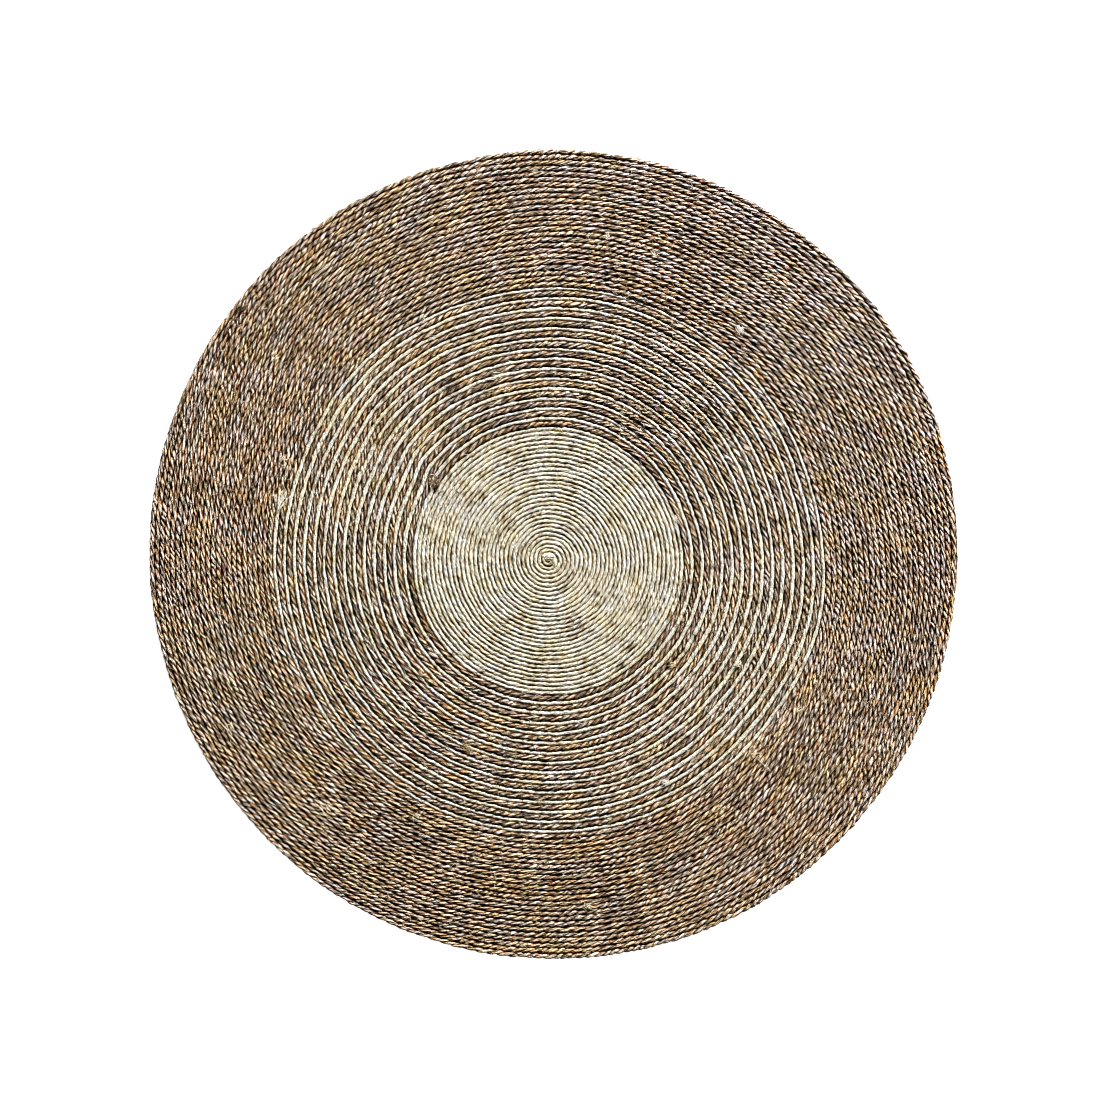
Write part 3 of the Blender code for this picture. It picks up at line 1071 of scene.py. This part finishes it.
border_ends = [PAIR_END, PAIR_END + 8.4, PAIR_END + 15.2, PAIR_END + 21.2, BORDER_END - 1.02]
runs = [
    ("cream_disc", cream, -99, 0.0, False),
    ("cream_stripes", cream, 0.0, 99, False),
    ("brown_stripes", brown, -99, border_ends[0], False),
    ("brown_border_inner", brown, border_ends[0], border_ends[1], False),
    ("brown_border_middle", brown, border_ends[1], border_ends[2], False),
    ("brown_border_outer", brown, border_ends[2], border_ends[3], False),
    ("brown_border_last", brown, border_ends[3], border_ends[4], False),
    ("brown_border_rim", brown, border_ends[4], 99, True),
]
loose = {
    "cream_disc": [
        middle_nub(),
        fuzz("disc_fibres", cream, -DISC_TURNS + 1.5, -0.2, 2600, 0.0085,
             (PALE, STRAW, DARK * 1.5), (0.45, 0.15, 0.40), 301),
    ],
    "cream_stripes": [
        fuzz("cream_stripe_fibres", cream, 0.2, PAIR_END - 0.1, 1500, 0.0090,
             (PALE, STRAW, GOLD), (0.6, 0.2, 0.2), 302),
        cream_end_fan(),
    ],
    "brown_stripes": [
        brown_start_knot(),
        brown_start_tuft(),
        fuzz("brown_stripe_fibres", brown, 0.2, PAIR_END, 2200, 0.0100,
             (STRAW, GOLD, DARK), (0.35, 0.25, 0.40), 303),
    ],
    "brown_border_middle": [
        fuzz("border_fibres", brown, PAIR_END, BORDER_END - 0.6, 5800, 0.0101,
             (STRAW, GOLD, DARK), (0.40, 0.20, 0.40), 304),
        tufts("tufts", TUFTS, 305),
    ],
}
for piece in (p for pieces in loose.values() for p in pieces):
    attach(piece, "root")
total = 0
for name, rope, start, stop, rim in runs:
    is_cream = rope is cream
    first = 0 if start == -99 else mark_at(rope, start)
    last = rope.marks if stop == 99 else mark_at(rope, stop)
    obj = rope_piece(
        name, rope, first, last, cream_colour if is_cream else brown_colour, rim
    )
    obj.data.calc_loop_triangles()
    total += len(obj.data.loop_triangles)
    laid(
        obj, rope, first, last,
        "cream_rope_coil" if is_cream else "brown_rope_coil",
        cream_jute if is_cream else brown_jute,
    )
for piece in (p for pieces in loose.values() for p in pieces):
    piece.data.calc_loop_triangles()
    total += len(piece.data.loop_triangles)
print("triangles in all", total)

# ------------------------------------------------------------------ the stage

bpy.ops.mesh.primitive_plane_add(size=14, location=(0, 0, -0.0003))
floor = bpy.context.object
floor.name = "floor"
white = plain("white floor", (0.88, 0.88, 0.88), 0.9)
# painted light: the floor glows outside the rug, so that the rug's shadow there doesn't show;
# under the rug it doesn't glow
nodes, links = white.node_tree.nodes, white.node_tree.links
where = nodes.new("ShaderNodeNewGeometry")
from_middle = nodes.new("ShaderNodeVectorMath")
from_middle.operation = "LENGTH"
links.new(where.outputs["Position"], from_middle.inputs[0])
lit = nodes.new("ShaderNodeMapRange")
lit.inputs["From Min"].default_value = 0.745
lit.inputs["From Max"].default_value = 0.752
lit.inputs["To Min"].default_value = 0.0
lit.inputs["To Max"].default_value = 1.5
links.new(from_middle.outputs["Value"], lit.inputs["Value"])
glow = nodes["Principled BSDF"].inputs
glow["Emission Color"].default_value = (1, 1, 1, 1)
# painted shade: under the rug the floor's colour falls to near black
shadowed = nodes.new("ShaderNodeMapRange")
shadowed.inputs["From Min"].default_value = 0.744
shadowed.inputs["From Max"].default_value = 0.747
shadowed.inputs["To Min"].default_value = 0.05
shadowed.inputs["To Max"].default_value = 0.88
links.new(from_middle.outputs["Value"], shadowed.inputs["Value"])
links.new(shadowed.outputs["Result"], glow["Base Color"])
links.new(lit.outputs["Result"], glow["Emission Strength"])
floor.data.materials.append(white)

world = bpy.data.worlds.new("studio")
bpy.context.scene.world = world
world.use_nodes = True
nodes, links = world.node_tree.nodes, world.node_tree.links
nodes["Background"].inputs["Color"].default_value = (1, 1, 1, 1)
# a white wall far behind, which hardly lights the rug
seen = nodes.new("ShaderNodeLightPath")
wall = nodes.new("ShaderNodeMapRange")
wall.inputs["To Min"].default_value = 0.03
wall.inputs["To Max"].default_value = 1.5
links.new(seen.outputs["Is Camera Ray"], wall.inputs["Value"])
links.new(wall.outputs["Result"], nodes["Background"].inputs["Strength"])


def lamp(name, azimuth, elevation, away, strength, softness):
    """A round lamp this far from the middle of the rug, which it gives strength,
    in watts a square metre. softness is how wide it looks from there."""
    light = bpy.data.lights.new(name, "AREA")
    light.shape = "DISK"
    light.size = 2 * away * math.tan(math.radians(softness) / 2)
    light.energy = strength * math.pi * away**2
    obj = bpy.data.objects.new(name, light)
    a, e = math.radians(azimuth), math.radians(elevation)
    to_light = Vector((math.cos(a) * math.cos(e), math.sin(a) * math.cos(e), math.sin(e)))
    obj.location = to_light * away
    obj.rotation_mode = "QUATERNION"
    obj.rotation_quaternion = to_light.to_track_quat("Z", "Y")
    obj.visible_camera = False
    bpy.context.scene.collection.objects.link(obj)


lamp("key", 61, 20.5, 11.0, 14.7, 3)

VIEW_WIDE = 2.0356  # metres of the floor across the picture
LENS = 80.0
camera = bpy.data.cameras.new("camera")
camera.lens = LENS
camera.clip_end = 60
viewer = bpy.data.objects.new("camera", camera)
viewer.location = (-0.0067, 0.0076, 0.01 + VIEW_WIDE * LENS / 36)
bpy.context.scene.collection.objects.link(viewer)
bpy.context.scene.camera = viewer

view = bpy.context.scene.view_settings
view.view_transform = "Standard"
view.look = "None"
# the brightest parts a little softer; the curve's right end is brightness 1.3
view.use_curve_mapping = True
tones = view.curve_mapping
tones.white_level = (1.3, 1.3, 1.3)
for at, value in ((0.42, 0.546), (0.654, 0.77), (0.77, 0.89), (0.87, 0.965)):
    tones.curves[3].points.new(at, value)
tones.update()
bpy.context.scene.cycles.filter_width = 0.9
